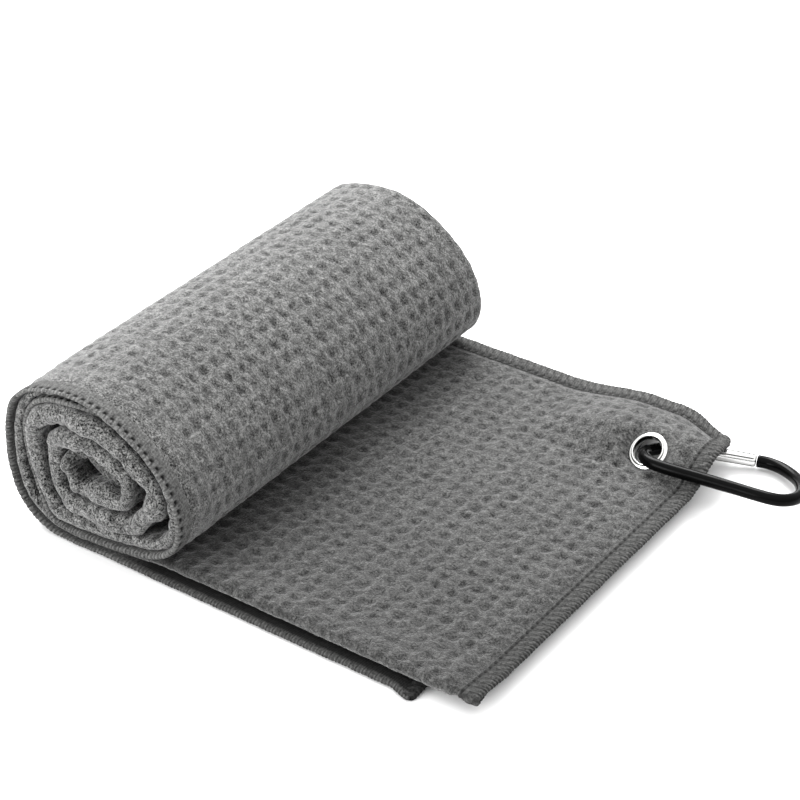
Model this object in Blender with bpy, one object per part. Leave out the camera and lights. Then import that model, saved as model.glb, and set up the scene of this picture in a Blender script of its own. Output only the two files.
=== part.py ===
"""Golf towel: a waffle microfibre towel folded in thirds and rolled up, with a corner grommet and a carabiner.

The towel is one flat sheet. It is folded in three along its length like a letter Z, and the folded strip is
rolled up from one short end, which leaves a flat tail. Lengths are in millimetres until they reach a mesh.

+X runs from the roll to the free end, +Y across the strip to the grommet side, +Z up from the table. Dimensions
are laid out from the line where the roll meets the tail and from the near fold, and every solid is then moved so
that the row's origin is under the middle of the whole part.
"""
import math

import bmesh
import bpy
from mathutils import Matrix, Vector

MM = 0.001
ROW_ORIGIN = Vector((34.16, 65.9, 0.0))

# Sheet and fold
SHEET_LENGTH = 610.0
SHEET_WIDTH = 406.0
CLOTH_T = 1.0          # thickness of one layer
GAP = 0.3              # air left between neighbouring solids
LAYER = CLOTH_T + GAP  # pitch of the layers in the stack
HEM_W = 5.0            # overlock band on all four edges
TAIL_X = 94.0          # free end of the top layer
STRIP_FAR = 135.0      # outer side of the far fold
BOTTOM_NEAR = -3.2     # the bottom panel's hem stands out past the near fold
BOTTOM_BACK = 12.0     # how far the bottom panel's end stays back from the top one, near side
FAR_BACK = 28.0        # the same at the far fold
BACK_FADE = 100.0      # length over which the ends' skew dies out
SPLIT = 108.0          # length of the tail part of the cloth, up to where the roll closes

# Outer surface of the roll's first turn, clockwise from under the roll, x and z
TURN = [
    (-24.0, 0.0), (-32.0, 0.0), (-39.5, 0.6), (-45.5, 3.6), (-49.5, 8.6), (-51.6, 15.5),
    (-52.0, 23.0), (-51.3, 31.0), (-48.6, 38.0), (-43.5, 42.6), (-37.0, 44.9), (-30.0, 46.1),
    (-23.0, 46.2), (-16.5, 44.6), (-10.4, 41.7), (-4.6, 37.6), (0.6, 32.6), (4.6, 26.2),
    (6.3, 19.2), (5.2, 12.9), (1.6, 8.2), (-3.6, 5.3), (-10.0, 4.4), (-17.0, 4.2),
]
WRAP = 3 * LAYER       # pitch of the turns
RELAX = (0, 1, 4)      # smoothing passes of each next turn, so that the core stays loose

# Core of the roll, outer surface again: two round bends and the end between them
CORE_CUT = 107         # points of the turns kept before the core
BEND_RIGHT = ((-14.8, 22.0), 5.4, 42.0, -84.0, 7)
BEND_LEFT = ((-28.7, 22.2), 6.2, -90.0, -270.0, 9)
CORE_END = [(-25.4, 28.2), (-22.2, 27.6), (-19.3, 26.4), (-16.9, 24.9), (-15.0, 23.4)]

# Corner with the grommet: the top layer rises over the carabiner's lower side and droops at its tip
RISE = 6.0
RISE_Y = (106.6, 117.2)
RISE_X = (48.0, 66.0)
TIP_X = (74.0, 94.0)
TIP_Y = (119.0, 134.0)
TIP_PULL = Vector((-2.4, -3.0, -3.0))
FAR_SAG = 1.8

# Grommet
RING_C = Vector((75.9, 111.4, 6.2))
RING_FLAT = (75.9, 111.9)   # its place on the flat top layer
RING_TURN = math.radians(-7.0)
RING_TILT = math.radians(37.0)
RING_R = 5.4
RING_HOLE = 4.0
RING_BARREL = 4.35
CLOTH_HOLE = 4.75
RING_FLOOR = (5.8, 7.8)    # cloth lies in the ring's plane inside the first radius

# Carabiner, in the plane of its loop: u along the back bar from the grommet, v across to the gate
ROD_R = 1.7
LOOP_O = Vector((76.0, 104.0, 8.0))
LOOP_YAW = math.radians(6.5)
LOOP_TILT = math.radians(14.2)
GATE_HINGE = (6.8, 17.6)
GATE_TIP = (25.8, 23.6)
GATE_R = 1.6
PIN_R = 0.5
SWIVEL = Vector((75.13, 111.09, 6.19))   # middle of the bar where it passes through the grommet


def clear_scene():
    for ob in list(bpy.data.objects):
        bpy.data.objects.remove(ob)


def ease(a, b, x):
    t = min(max((x - a) / (b - a), 0.0), 1.0)
    return t * t * (3.0 - 2.0 * t)


def material(name, colour, rough, metal=0.0):
    mat = bpy.data.materials.new(name)
    mat.use_nodes = True
    shader = mat.node_tree.nodes["Principled BSDF"]
    shader.inputs["Base Color"].default_value = (*colour, 1.0)
    shader.inputs["Roughness"].default_value = rough
    shader.inputs["Metallic"].default_value = metal
    mat.diffuse_color = (*colour, 1.0)
    return mat


def make_object(name, bm, colour, rough, metal=0.0, pivot=ROW_ORIGIN):
    """Solid from millimetres, with its own origin on the pivot."""
    bmesh.ops.recalc_face_normals(bm, faces=bm.faces)
    me = bpy.data.meshes.new(name)
    for v in bm.verts:
        v.co = (v.co - pivot) * MM
    bm.to_mesh(me)
    bm.free()
    me.materials.append(material(name, colour, rough, metal))
    for p in me.polygons:
        p.use_smooth = True
    ob = bpy.data.objects.new(name, me)
    ob.location = (pivot - ROW_ORIGIN) * MM
    bpy.context.scene.collection.objects.link(ob)
    return ob


# ---------------------------------------------------------------- the rolled strip

def inward_normals(points):
    """Unit normals on the right of an open clockwise path, which is the inside of the roll."""
    out = []
    last = len(points) - 1
    for i in range(len(points)):
        a = points[max(i - 1, 0)]
        b = points[min(i + 1, last)]
        d = (b - a).normalized()
        out.append(Vector((d.y, -d.x)))
    return out


def roll_path():
    """Outer surface of the strip from the free end to the core, as 2-D points."""
    tail = [94.0, 88.7, 86.0, 83.3, 80.6, 78.3, 76.0, 73.7, 71.4, 68.8, 66.0, 62.0, 57.0, 52.0, 46.0]
    tail += [36.0, 18.0, 0.0, -14.0]
    path = [Vector((x, 0.0)) for x in tail]
    turn = [Vector(p) for p in TURN]
    count = len(turn)
    for n in range(4):
        path += turn
        if n == 3:
            break
        closed = [path[-count - 1]] + turn
        nxt = [turn[i] + WRAP * inward_normals(closed)[i + 1] for i in range(count)]
        nxt = [Vector((turn[0].x, turn[0].y + WRAP)) if n == 0 and i == 0 else q for i, q in enumerate(nxt)]
        for _ in range(RELAX[n]):
            nxt = [relax(nxt, i, 0.5) for i in range(count)]
        turn = nxt
    return path[:CORE_CUT] + bend(*BEND_RIGHT) + bend(*BEND_LEFT) + [Vector(p) for p in CORE_END]


def bend(centre, radius, first, last, count):
    """Points of a round bend, by angle in degrees from +X towards +Z."""
    out = []
    for k in range(count):
        a = math.radians(first + (last - first) * k / (count - 1))
        out.append(Vector((centre[0] + radius * math.cos(a), centre[1] + radius * math.sin(a))))
    return out


def relax(points, i, w):
    a = points[max(i - 1, 0)]
    b = points[min(i + 1, len(points) - 1)]
    if i in (0, len(points) - 1):
        return points[i]
    return points[i] * (1.0 - w) + (a + b) * (0.5 * w)


class Strip:
    """Maps the flat sheet onto the folded and rolled strip."""

    def __init__(self):
        self.pts = roll_path()
        self.nrm = inward_normals(self.pts)
        mid = [p + n * (1.5 * LAYER) for p, n in zip(self.pts, self.nrm)]
        self.s = [0.0]
        for a, b in zip(mid, mid[1:]):
            self.s.append(self.s[-1] + (b - a).length)
        far = STRIP_FAR - CLOTH_T / 2 - LAYER / 2
        near = CLOTH_T / 2 + LAYER / 2
        bend = math.pi * LAYER / 2
        self.far, self.near, self.bend = far, near, bend
        self.c_end = far - BOTTOM_NEAR
        self.b_start = self.c_end + bend
        self.b_end = self.b_start + far - near
        self.a_start = self.b_end + bend

    def stations(self, s0, s1):
        """Lengths of the path's own points between two lengths, with both ends."""
        inside = [s for s in self.s if s0 + 0.6 < s < s1 - 0.6]
        return [s0] + inside + [s1]

    def fold(self, t):
        """Place across the sheet to y and height in the stack, both for the middle of the cloth."""
        low = CLOTH_T / 2
        if t <= self.c_end:
            return BOTTOM_NEAR + t, low
        if t <= self.b_start:
            a = (t - self.c_end) / self.bend * math.pi
            return self.far + LAYER / 2 * math.sin(a), low + LAYER / 2 * (1 - math.cos(a))
        if t <= self.b_end:
            return self.far - (t - self.b_start), low + LAYER
        if t <= self.a_start:
            a = (t - self.b_end) / self.bend * math.pi
            return self.near - LAYER / 2 * math.sin(a), low + LAYER + LAYER / 2 * (1 - math.cos(a))
        return self.near + (t - self.a_start), low + 2 * LAYER

    def back(self, t):
        """How far the sheet's end stays back from the tail's end at a place across it."""
        if t <= self.c_end:
            return BOTTOM_BACK + (FAR_BACK - BOTTOM_BACK) * t / self.c_end
        if t <= self.b_start:
            return FAR_BACK
        if t <= self.b_end:
            return FAR_BACK * (self.b_end - t) / (self.b_end - self.b_start)
        return 0.0

    def along(self, s, t):
        back = self.back(t)
        if s >= BACK_FADE or back == 0.0:
            return s
        return back + s * (1.0 - back / BACK_FADE)

    def frame(self, s):
        i = 0
        while i < len(self.s) - 2 and self.s[i + 1] < s:
            i += 1
        f = (s - self.s[i]) / (self.s[i + 1] - self.s[i])
        p = self.pts[i].lerp(self.pts[i + 1], f)
        n = self.nrm[i].lerp(self.nrm[i + 1], f).normalized()
        return p, n

    def point(self, s, t):
        """Middle of the cloth at a length along the strip and a place across the sheet."""
        y, h = self.fold(t)
        p, n = self.frame(self.along(s, t))
        q = p + n * h
        out = Vector((q.x, y, q.y))
        if t > self.a_start and out.x > RISE_X[0]:
            return corner_point(out)
        return out

    def normal(self, s, t):
        e = 0.35
        ds = self.point(min(s + e, self.s[-1]), t) - self.point(max(s - e, 0.0), t)
        dt = self.point(s, t + e) - self.point(s, t - e)
        return ds.cross(dt).normalized()


def corner_point(flat):
    """Top layer lifted over the carabiner, and lying in the grommet's plane around its hole."""
    x, y = flat.x, flat.y
    side = ease(*RISE_X, x)
    rise = ease(*RISE_Y, y)
    tip = ease(*TIP_X, x) * ease(*TIP_Y, y)
    lift = side * (RISE * rise - FAR_SAG * ease(RISE_Y[1], STRIP_FAR, y))
    out = flat + Vector((0.0, -1.0 * side * rise, lift)) + TIP_PULL * tip
    off = Vector((x - RING_FLAT[0], y - RING_FLAT[1], 0.0))
    near = 1.0 - ease(*RING_FLOOR, off.length)
    return out.lerp(ring_matrix() @ off, near)


def sheet_piece(strip, rows, columns_of):
    """Closed solid of the cloth between given lengths, with its own list of places across each length."""
    bm = bmesh.new()
    top, low = [], []
    for s in rows:
        up, down = {}, {}
        for t in columns_of(s):
            m = strip.point(s, t)
            n = strip.normal(s, t)
            up[t] = bm.verts.new(m + n * (CLOTH_T / 2))
            down[t] = bm.verts.new(m - n * (CLOTH_T / 2))
        top.append(up)
        low.append(down)
    for i in range(len(rows) - 1):
        a, b = columns_of(rows[i]), columns_of(rows[i + 1])
        coarse = a if len(a) <= len(b) else b
        for t0, t1 in zip(coarse, coarse[1:]):
            first = [t for t in a if t0 <= t <= t1]
            second = [t for t in b if t0 <= t <= t1]
            for side, flip in ((top, False), (low, True)):
                loop = [side[i][t] for t in first] + [side[i + 1][t] for t in reversed(second)]
                bm.faces.new(loop[::-1] if flip else loop)
    for i in (0, len(rows) - 1):
        cols = columns_of(rows[i])
        for t0, t1 in zip(cols, cols[1:]):
            bm.faces.new((top[i][t0], top[i][t1], low[i][t1], low[i][t0]))
    for i in range(len(rows) - 1):
        for t in (columns_of(rows[i])[0], columns_of(rows[i])[-1]):
            bm.faces.new((top[i][t], top[i + 1][t], low[i + 1][t], low[i][t]))
    return bm


def across(strip, t0, t1, fine):
    """Places across the sheet between two of them: the folds always, the grommet corner when asked."""
    marks = [strip.c_end + strip.bend * k / 4 for k in range(5)]
    marks += [strip.b_end + strip.bend * k / 4 for k in range(5)]
    if fine:
        marks += [strip.a_start + y - strip.near for y in (104, 106, 108, 110, 112, 114, 116, 118, 120, 123, 126, 129, 132)]
    return [t0] + [t for t in marks if t0 + 0.6 < t < t1 - 0.6] + [t1]


def build_towel():
    strip = Strip()
    grey = (0.115, 0.115, 0.115)
    edge = (0.085, 0.085, 0.085)
    end_s = SHEET_LENGTH
    s0, s1 = HEM_W + GAP, end_s - HEM_W - GAP
    t0, t1 = HEM_W + GAP, SHEET_WIDTH - HEM_W - GAP

    def fine(s):
        return s < TAIL_X - RISE_X[0] + 4.0

    rows = strip.stations(s0, s1)
    tail = strip.stations(s0, SPLIT - GAP / 2)
    rolled = strip.stations(SPLIT + GAP / 2, s1)
    cloth = make_object(
        "towel_cloth_tail", sheet_piece(strip, tail, lambda s: across(strip, t0, t1, fine(s))), grey, 0.95)
    cut_round_hole(cloth)
    make_object(
        "towel_cloth_roll", sheet_piece(strip, rolled, lambda s: across(strip, t0, t1, False)), grey, 0.95)
    make_object(
        "hem_bottom_edge", sheet_piece(strip, rows, lambda s: [0.0, HEM_W]), edge, 0.9)
    make_object(
        "hem_top_edge",
        sheet_piece(strip, rows, lambda s: [SHEET_WIDTH - HEM_W, SHEET_WIDTH]), edge, 0.9)
    make_object(
        "hem_free_end",
        sheet_piece(strip, [0.0, HEM_W], lambda s: across(strip, 0.0, SHEET_WIDTH, True)), edge, 0.9)
    make_object(
        "hem_core_end",
        sheet_piece(strip, [end_s - HEM_W, end_s], lambda s: across(strip, 0.0, SHEET_WIDTH, False)),
        edge, 0.9)


def ring_matrix():
    turn = Matrix.Rotation(RING_TURN, 4, "Z")
    return Matrix.Translation(RING_C) @ turn @ Matrix.Rotation(RING_TILT, 4, "X") @ turn.inverted()


def cut_round_hole(cloth):
    """Cuts the grommet's hole through the top layer only."""
    bm = bmesh.new()
    bmesh.ops.create_cone(bm, cap_ends=True, segments=32, radius1=CLOTH_HOLE, radius2=CLOTH_HOLE, depth=4.0)
    bmesh.ops.transform(bm, matrix=ring_matrix(), verts=bm.verts)
    cutter = make_object("grommet_hole_cutter", bm, (0.5, 0.5, 0.5), 0.5)
    cutter.hide_render = True
    cutter.display_type = "WIRE"
    cut = cloth.modifiers.new("Grommet hole", "BOOLEAN")
    cut.operation = "DIFFERENCE"
    cut.solver = "EXACT"
    cut.object = cutter


# ---------------------------------------------------------------- grommet

def turned(name, profile, segments, colour, rough, metal):
    """Ring turned from a closed outline of radius and height, set on the grommet's place."""
    bm = bmesh.new()
    loops = []
    for k in range(segments):
        a = 2 * math.pi * k / segments
        loops.append([bm.verts.new((r * math.cos(a), r * math.sin(a), z)) for r, z in profile])
    count = len(profile)
    for k in range(segments):
        a, b = loops[k], loops[(k + 1) % segments]
        for j in range(count):
            m = (j + 1) % count
            bm.faces.new((a[j], b[j], b[m], a[m]))
    bmesh.ops.transform(bm, matrix=ring_matrix(), verts=bm.verts)
    return make_object(name, bm, colour, rough, metal)


def build_grommet():
    half = CLOTH_T / 2 + 0.2
    eyelet = [
        (RING_BARREL, -half - 0.35), (RING_HOLE + 0.1, -half - 0.3), (RING_HOLE, 0.0),
        (RING_HOLE + 0.1, half + 0.3), (RING_HOLE + 0.45, half + 0.45), (RING_R - 0.4, half + 0.35),
        (RING_R, half + 0.05), (RING_R - 0.1, half), (RING_BARREL, half),
    ]
    washer = [
        (RING_BARREL + GAP, -half), (RING_BARREL + GAP, -half - 0.35), (RING_R - 0.25, -half - 0.4),
        (RING_R, -half - 0.2), (RING_R, -half),
    ]
    turned("grommet_eyelet", eyelet, 32, (0.8, 0.8, 0.8), 0.18, 1.0)
    turned("grommet_washer", washer, 32, (0.8, 0.8, 0.8), 0.22, 1.0)


# ---------------------------------------------------------------- carabiner

def loop_matrix():
    return (
        Matrix.Translation(LOOP_O)
        @ Matrix.Rotation(LOOP_YAW, 4, "Z")
        @ Matrix.Rotation(-LOOP_TILT, 4, "X")
    )


def curve_points(knots, step):
    """Catmull-Rom curve through knots, sampled about every step."""
    pts = [Vector((*k, 0.0)) for k in knots]
    pts = [pts[0] * 2 - pts[1]] + pts + [pts[-1] * 2 - pts[-2]]
    out = []
    for i in range(1, len(pts) - 2):
        a, b, c, d = pts[i - 1:i + 3]
        n = max(1, round((c - b).length / step))
        for k in range(n):
            t = k / n
            out.append(0.5 * (2 * b + (c - a) * t + (2 * a - 5 * b + 4 * c - d) * t * t
                              + (3 * b - a - 3 * c + d) * t ** 3))
    out.append(pts[-2])
    return out


def rod(bm, path, radii, sides):
    """Round bar along a flat path, with one radius across the plane and one along it at each point."""
    rings = []
    for i, p in enumerate(path):
        d = (path[min(i + 1, len(path) - 1)] - path[max(i - 1, 0)]).normalized()
        side = Vector((d.y, -d.x, 0.0))
        ra, rb = radii[i]
        ring = []
        for k in range(sides):
            a = 2 * math.pi * (k + 0.5) / sides
            ring.append(bm.verts.new(p + side * (ra * math.cos(a)) + Vector((0, 0, rb * math.sin(a)))))
        rings.append(ring)
    for a, b in zip(rings, rings[1:]):
        for k in range(sides):
            m = (k + 1) % sides
            bm.faces.new((a[k], a[m], b[m], b[k]))
    bm.faces.new(rings[0][::-1])
    bm.faces.new(rings[-1])


def placed(name, bm, colour, rough, metal, pivot):
    """Object drawn in the loop's plane and set on its place, turning about the pivot."""
    bmesh.ops.transform(bm, matrix=loop_matrix(), verts=bm.verts)
    return make_object(name, bm, colour, rough, metal, pivot)


def build_carabiner():
    hinge = Vector((*GATE_HINGE, 0.0))
    tip = Vector((*GATE_TIP, 0.0))
    gate_dir = (tip - hinge).normalized()
    gate_pivot = loop_matrix() @ hinge

    # body: from the nose round the outer bend, along the back bar and round to the hinge
    nose = tip + gate_dir * 0.6
    knots = [
        (nose.x, nose.y), (29.5, 24.3), (34.0, 22.9), (39.6, 18.2), (42.9, 12.0), (43.6, 6.0),
        (41.6, 1.7), (37.6, 0.0), (28.0, 0.0), (18.0, 0.0), (8.5, 0.0), (3.6, 1.1),
        (0.6, 4.2), (0.0, 8.2), (1.6, 12.4),
    ]
    path = curve_points(knots, 3.0)
    heel = hinge - gate_dir * 2.0
    path += [heel - gate_dir * 1.0, heel]
    radii = [(ROD_R, ROD_R)] * len(path)
    # flat tongue inside the gate's fork
    path += [heel + gate_dir * 0.05, hinge + gate_dir * 1.3]
    radii += [(1.35, 0.55)] * 2
    bm = bmesh.new()
    rod(bm, path, radii, 12)
    body = placed("carabiner_body", bm, (0.012, 0.012, 0.012), 0.16, 0.0, SWIVEL)
    drill(body, "tongue_pin_cutter", hinge, PIN_R + GAP, 6.0)

    # gate: a round bar with a fork at the hinge
    bm = bmesh.new()
    start = hinge - gate_dir * 1.45
    rod(bm, [start, hinge + gate_dir * 1.0, tip - gate_dir * 0.4, tip],
        [(GATE_R, GATE_R)] * 3 + [(GATE_R - 0.25, GATE_R - 0.25)], 12)
    gate = placed("carabiner_gate", bm, (0.75, 0.75, 0.76), 0.2, 1.0, gate_pivot)
    slot = bmesh.new()
    bmesh.ops.create_cube(slot, size=1.0)
    centre = hinge + gate_dir * 0.1
    turn = Matrix.Rotation(math.atan2(gate_dir.y, gate_dir.x), 4, "Z")
    bmesh.ops.transform(
        slot, matrix=Matrix.Translation(centre) @ turn @ Matrix.Diagonal((3.6, 6.0, 1.8, 1.0)), verts=slot.verts)
    subtract(gate, "gate_fork_cutter", slot)
    bore = bmesh.new()
    bmesh.ops.create_cone(bore, cap_ends=True, segments=12, radius1=0.95, radius2=0.95, depth=7.0)
    bmesh.ops.transform(
        bore,
        matrix=Matrix.Translation(hinge + gate_dir * 5.2) @ turn @ Matrix.Rotation(math.pi / 2, 4, "Y"),
        verts=bore.verts)
    subtract(gate, "gate_bore_cutter", bore)
    drill(gate, "gate_pin_cutter", hinge, PIN_R + GAP, 6.0)

    # rivet through fork and tongue
    bm = bmesh.new()
    bmesh.ops.create_cone(bm, cap_ends=True, segments=12, radius1=PIN_R, radius2=PIN_R, depth=2 * GATE_R)
    bmesh.ops.translate(bm, vec=hinge, verts=bm.verts)
    placed("gate_hinge_pin", bm, (0.7, 0.7, 0.7), 0.3, 1.0, SWIVEL)

    # spring in the gate's bore
    bm = bmesh.new()
    spring(bm, hinge + gate_dir * 2.3, gate_dir, 5.6, 0.5, 0.14, 5)
    placed("gate_spring", bm, (0.6, 0.6, 0.6), 0.35, 1.0, gate_pivot)


def spring(bm, start, axis, length, radius, wire, turns):
    side = Vector((-axis.y, axis.x, 0.0))
    up = Vector((0.0, 0.0, 1.0))
    steps = turns * 10
    rings = []
    for i in range(steps + 1):
        a = 2 * math.pi * i / 10
        out = side * math.cos(a) + up * math.sin(a)
        c = start + axis * (length * i / steps) + out * radius
        ring = []
        for k in range(5):
            b = 2 * math.pi * k / 5
            ring.append(bm.verts.new(c + out * (wire * math.cos(b)) + axis * (wire * math.sin(b))))
        rings.append(ring)
    for a, b in zip(rings, rings[1:]):
        for k in range(5):
            m = (k + 1) % 5
            bm.faces.new((a[k], a[m], b[m], b[k]))
    bm.faces.new(rings[0][::-1])
    bm.faces.new(rings[-1])


def subtract(ob, name, bm):
    cutter = placed(name, bm, (0.5, 0.5, 0.5), 0.5, 0.0, SWIVEL)
    cutter.hide_render = True
    cutter.display_type = "WIRE"
    cut = ob.modifiers.new(name, "BOOLEAN")
    cut.operation = "DIFFERENCE"
    cut.solver = "EXACT"
    cut.object = cutter


def drill(ob, name, centre, radius, depth):
    bm = bmesh.new()
    bmesh.ops.create_cone(bm, cap_ends=True, segments=12, radius1=radius, radius2=radius, depth=depth)
    bmesh.ops.translate(bm, vec=centre, verts=bm.verts)
    subtract(ob, name, bm)


clear_scene()
build_towel()
build_grommet()
build_carabiner()
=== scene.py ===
"""Golf towel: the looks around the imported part.

The visible cloth is one sheet of waffle microfibre. It is laid out flat, 610 x 406 mm, and mapped onto the same
Z fold and roll as the part, with real dimples, puffed folds at the near end and overlock hems on all four edges.
All lengths in this file are millimetres until a mesh is made. The part's dimensions are counted from the line where
the roll meets the tail, the near fold and the table, and ROW moves them into the row's frame.
"""
import math

import bmesh
import bpy
import numpy as np
from mathutils import Matrix, Vector


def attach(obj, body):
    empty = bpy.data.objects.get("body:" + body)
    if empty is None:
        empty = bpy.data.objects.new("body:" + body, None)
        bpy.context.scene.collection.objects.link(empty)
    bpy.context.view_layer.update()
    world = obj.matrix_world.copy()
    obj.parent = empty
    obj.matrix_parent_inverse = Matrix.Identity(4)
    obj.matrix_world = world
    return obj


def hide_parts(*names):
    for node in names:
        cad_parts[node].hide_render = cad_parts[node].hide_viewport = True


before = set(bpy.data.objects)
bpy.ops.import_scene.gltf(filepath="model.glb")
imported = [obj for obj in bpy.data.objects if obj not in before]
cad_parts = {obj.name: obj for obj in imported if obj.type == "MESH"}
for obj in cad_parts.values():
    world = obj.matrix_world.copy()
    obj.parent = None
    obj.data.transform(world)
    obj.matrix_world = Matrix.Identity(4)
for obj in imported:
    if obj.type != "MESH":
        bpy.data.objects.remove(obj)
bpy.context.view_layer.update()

MM = 0.001
ROW = np.array((34.16, 65.9, 0.0))

# ---------------------------------------------------------------- sheet, fold and roll

LENGTH, WIDTH = 610.0, 406.0
LAYER = 1.3             # pitch of the layers in the part
TAIL_X = 94.0           # free end of the tail
STRIP_FAR = 135.0       # far edge of the folded strip
BOTTOM_NEAR = -2.8      # near edge of the bottom layer
BOTTOM_BACK = 15.0      # its free end stands back this far at the near edge
FAR_BACK = 28.0         # and this far at the far fold
BACK_FADE = 100.0       # length over which that is taken up
TAIL_STACK = 4.4        # the three layers with their pile, on the tail
ROLL_STACK = 3.9        # and pressed together in the roll

TAIL = [(x, 0.0) for x in (102.0, 94.0, 86.0, 78.0, 70.0, 60.0, 48.0, 36.0, 24.0, 12.0, 0.0, -12.0)]

# Outer surface of the roll's first turn, clockwise from under the roll, x and z
TURN = [
    (-24.0, 0.0), (-32.0, 0.0), (-39.5, 0.6), (-45.5, 3.6), (-49.5, 8.6), (-51.6, 15.5),
    (-52.0, 23.0), (-51.3, 31.0), (-48.6, 38.0), (-43.5, 42.6), (-37.0, 44.9), (-30.0, 46.1),
    (-23.0, 46.2), (-16.5, 44.6), (-10.4, 41.7), (-4.6, 37.6), (0.6, 32.6), (4.6, 26.2),
    (6.3, 19.2), (5.2, 12.9), (1.6, 8.2), (-3.6, 5.3), (-10.0, 4.4), (-17.0, 4.2),
]
RELAX = (0, 1, 4)       # smoothing passes after each turn
# bends in the core: centre, radius, first and last angle in degrees, and points
BEND_RIGHT = ((-14.8, 22.0), 5.4, 42.0, -84.0, 7)
BEND_LEFT = ((-28.7, 22.2), 6.2, -90.0, -270.0, 9)
CORE_END = [(-25.4, 28.2), (-22.2, 27.6), (-19.3, 26.4), (-16.9, 24.9), (-15.0, 23.4)]
LAST_TURN = 16          # points of the fourth turn before the core

# The same at the near end, where the turns are puffed and the core is crumpled
NEAR_TURNS = [
    [
        (-24.0, 0.0), (-31.0, 0.0), (-38.4, 0.4), (-44.6, 3.4), (-48.8, 8.6), (-51.0, 15.6),
        (-51.4, 23.3), (-50.6, 31.4), (-47.8, 38.5), (-41.9, 43.4), (-35.4, 45.7), (-28.4, 46.9),
        (-21.4, 46.9), (-14.9, 45.4), (-8.8, 42.5), (-3.0, 38.4), (2.1, 33.3), (5.9, 26.9),
        (7.4, 19.9), (6.2, 13.5), (2.8, 9.0), (-2.4, 6.0), (-9.0, 4.4), (-16.5, 3.2),
    ],
    [
        (-24.0, 2.6), (-31.0, 2.6), (-36.0, 3.4), (-39.4, 6.2), (-41.2, 10.8), (-42.8, 16.2),
        (-44.4, 22.8), (-44.9, 29.4), (-43.7, 35.6), (-40.2, 40.6), (-35.2, 43.3), (-29.5, 44.5),
        (-23.5, 44.2), (-17.8, 42.3), (-12.0, 39.6), (-6.6, 36.5), (-2.4, 32.9), (0.4, 28.4),
        (2.0, 23.6), (1.0, 19.6), (-3.2, 17.2), (-6.4, 12.2), (-10.5, 9.8), (-17.0, 9.2),
    ],
    [
        (-24.0, 9.4), (-30.0, 9.7), (-34.0, 11.2), (-36.6, 14.4), (-37.6, 18.6), (-37.8, 23.2),
        (-37.4, 27.6), (-36.2, 31.2), (-33.4, 34.2), (-29.3, 36.0), (-24.6, 36.4), (-20.0, 35.6),
        (-15.2, 34.2), (-10.9, 32.4), (-8.2, 29.4), (-7.9, 25.8), (-8.8, 22.0), (-10.0, 19.2),
        (-11.0, 17.6), (-13.6, 16.2), (-16.6, 15.6), (-19.6, 15.4), (-22.4, 15.4), (-25.0, 15.5),
    ],
]
NEAR_CORE = [
    (-27.4, 16.0), (-29.8, 17.6), (-31.5, 20.2), (-32.1, 23.2), (-31.6, 26.2), (-30.0, 28.6),
    (-27.7, 29.6), (-25.6, 28.8), (-24.4, 27.0), (-23.0, 25.2), (-20.8, 24.0), (-18.2, 23.9),
    (-16.0, 24.8), (-14.6, 26.4), (-14.4, 28.2), (-15.6, 29.6), (-17.6, 29.8), (-19.6, 29.2),
    (-21.0, 28.0), (-21.6, 26.8),
]
# Thickness of the stack at the near end, at each point of its turns and in the core
NEAR_THICK = [
    [5.0] * 4 + [4.9, 4.9, 5.0, 5.2, 5.4, 5.6, 5.6, 5.6, 5.5, 5.4, 5.3, 5.2, 5.2, 5.2, 5.2, 5.4, 5.4, 5.4, 5.5, 5.6],
    [6.6, 6.6, 6.4, 6.2, 6.0, 6.0, 6.4, 6.8, 7.2, 7.6, 7.8, 7.8, 7.6, 7.4, 7.2, 6.6, 5.2, 4.6, 7.4, 6.8,
     4.6, 4.6, 5.6, 6.4],
    [5.6, 5.0, 4.4, 4.2, 4.6, 5.0, 5.2, 5.4, 5.6, 5.8, 5.6, 5.2, 5.0, 5.0, 4.8, 4.2, 3.6, 3.5, 3.8, 5.0,
     6.6, 7.0, 6.6, 5.4],
]
CORE_THICK = 3.9
NEAR_GAP = 0.1          # least air between the turns at the near end
THIN = 1.6              # thinnest that the stack gets there
FINE = 8                # points of the smooth path for each given one

# Corner with the grommet
STRETCH = 1.012         # the top layer lies a little longer than it is cut
RISE = 6.0              # height of the raised corner, and where it starts and ends
RISE_Y = (101.0, 118.0)
RISE_X = (38.0, 66.0)
TIP_X = (74.0, 94.0)    # the tip is pulled in and down
TIP_Y = (119.0, 134.0)
TIP_PULL = np.array((-2.9, -3.2, -3.0))
FAR_SAG = 1.8           # the far edge sinks behind the raised cloth
FOLD_LIFT = 1.2         # the near fold stands off the bottom layer's hem on the tail
RING_C = Vector((75.9, 111.4, 6.2))     # the grommet's middle
RING_FLAT = (75.9, 111.9)               # and its place before the cloth is raised
RING_TURN = math.radians(-7.0)
RING_TILT = math.radians(37.0)

# Waffle cells on the flat sheet, along and across
NS, NT = 122, 85
CELL_S = LENGTH / NS
CELL_T = WIDTH / NT
SUB = 8                 # finest steps in a cell
RIM = 4                 # steps in a cell along the sheet's own edges, the same on both faces
DIMPLE = 0.56           # depth of a cell
INSET = 0.8             # the sheet stops this far inside its hems
NUDGE = 0.3             # step along the flat sheet for its directions
HEM_W = 5.2             # width of the overlock bands
CORNER_R = 2.4          # the two corners at the free end


def ease(a, b, x):
    t = np.clip((x - a) / (b - a), 0.0, 1.0)
    return t * t * (3.0 - 2.0 * t)


def inward(points):
    """Unit normals on the right of an open path."""
    d = np.gradient(points, axis=0)
    d /= np.linalg.norm(d, axis=1, keepdims=True)
    return np.stack((d[:, 1], -d[:, 0]), axis=1)


def relaxed(points, w=0.5):
    out = points.copy()
    out[1:-1] = points[1:-1] * (1 - w) + (points[:-2] + points[2:]) * (0.5 * w)
    return out


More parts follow.
